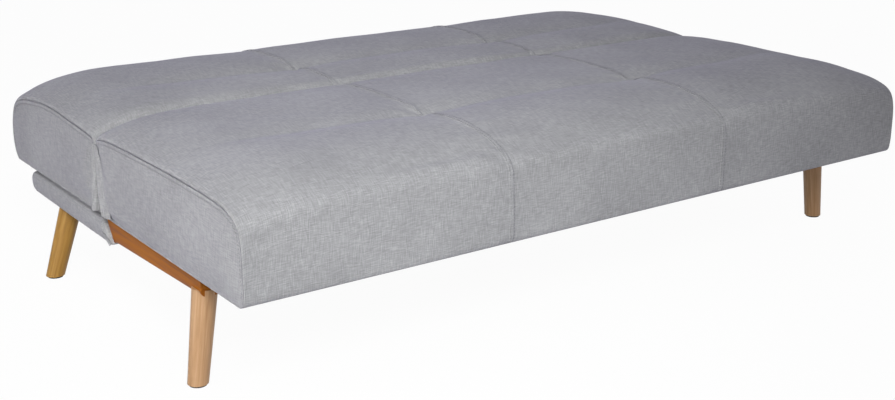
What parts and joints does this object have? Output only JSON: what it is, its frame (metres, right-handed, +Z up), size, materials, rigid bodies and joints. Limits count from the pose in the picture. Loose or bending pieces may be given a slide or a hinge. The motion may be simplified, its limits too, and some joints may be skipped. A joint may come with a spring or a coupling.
{
  "type": "click clack sofa bed",
  "caption": "Sofa bed shown flat: long upholstered seat and back slabs on a ratchet hinge, over a wrapped platform with wooden side rails and splayed legs.",
  "frame": {"origin": "on the floor, under the middle of the flat bed", "axes": "+X along the sofa, +Y from the seat slab to the back slab, +Z up"},
  "size_m": [1.8792, 1.216, 0.4492],
  "materials": {
    "upholstery": "woven light grey linen-look",
    "dust_cloth": "black non-woven",
    "webbing": "woven elastic strap",
    "frame_timber": "sawn softwood",
    "rail_wood": "stained, satin",
    "leg_wood": "clear satin lacquer",
    "steel": "black powder coat",
    "rubber": "matte"
  },
  "bodies": {
    "base": {"platform_cover": "upholstery", "platform_deck": "frame_timber", "platform_front_beam": "frame_timber", "platform_rear_beam": "frame_timber", "platform_bearers": "frame_timber", "left_side_rail": "rail_wood", "right_side_rail": "rail_wood", "front_stretcher": "frame_timber", "front_legs": "leg_wood", "rear_legs": "leg_wood", "leg_glides": "rubber", "leg_bolts": "steel", "rest_buffers": "rubber", "hinge_brackets": "steel", "pivot_pins": "steel"},
    "seat": {"seat_cushion": "upholstery", "seat_outer_board": "frame_timber", "seat_crease_board": "frame_timber", "seat_end_boards": "frame_timber", "seat_cross_boards": "frame_timber", "seat_webbing": "webbing", "seat_dust_cloth": "dust_cloth", "seat_gussets": "upholstery", "seat_arms": "steel"},
    "back": {"back_cushion": "upholstery", "back_outer_board": "frame_timber", "back_crease_board": "frame_timber", "back_end_boards": "frame_timber", "back_cross_boards": "frame_timber", "back_webbing": "webbing", "back_dust_cloth": "dust_cloth", "back_gussets": "upholstery", "back_arms": "steel", "pawl_pins": "steel", "pawl_springs": "steel"},
    "left_pawl": {"left_pawl": "steel"},
    "right_pawl": {"right_pawl": "steel"}
  },
  "joints": [
    {"name": "seat_lift", "type": "hinge", "parent": "base", "child": "seat", "pos_m": [0, 0.058, 0.384], "axis": [-1, 0, 0], "range_deg": [0, 35]},
    {"name": "back_recline", "type": "hinge", "parent": "base", "child": "back", "pos_m": [0, 0.058, 0.384], "axis": [1, 0, 0], "range_deg": [0, 70]},
    {"name": "left_pawl_turn", "type": "hinge", "parent": "back", "child": "left_pawl", "pos_m": [-0.8685, 0.08396, 0.30411], "axis": [1, 0, 0], "range_deg": [-12, 0]},
    {"name": "right_pawl_turn", "type": "hinge", "parent": "back", "child": "right_pawl", "pos_m": [0.8685, 0.08396, 0.30411], "axis": [1, 0, 0], "range_deg": [-12, 0]}
  ]
}
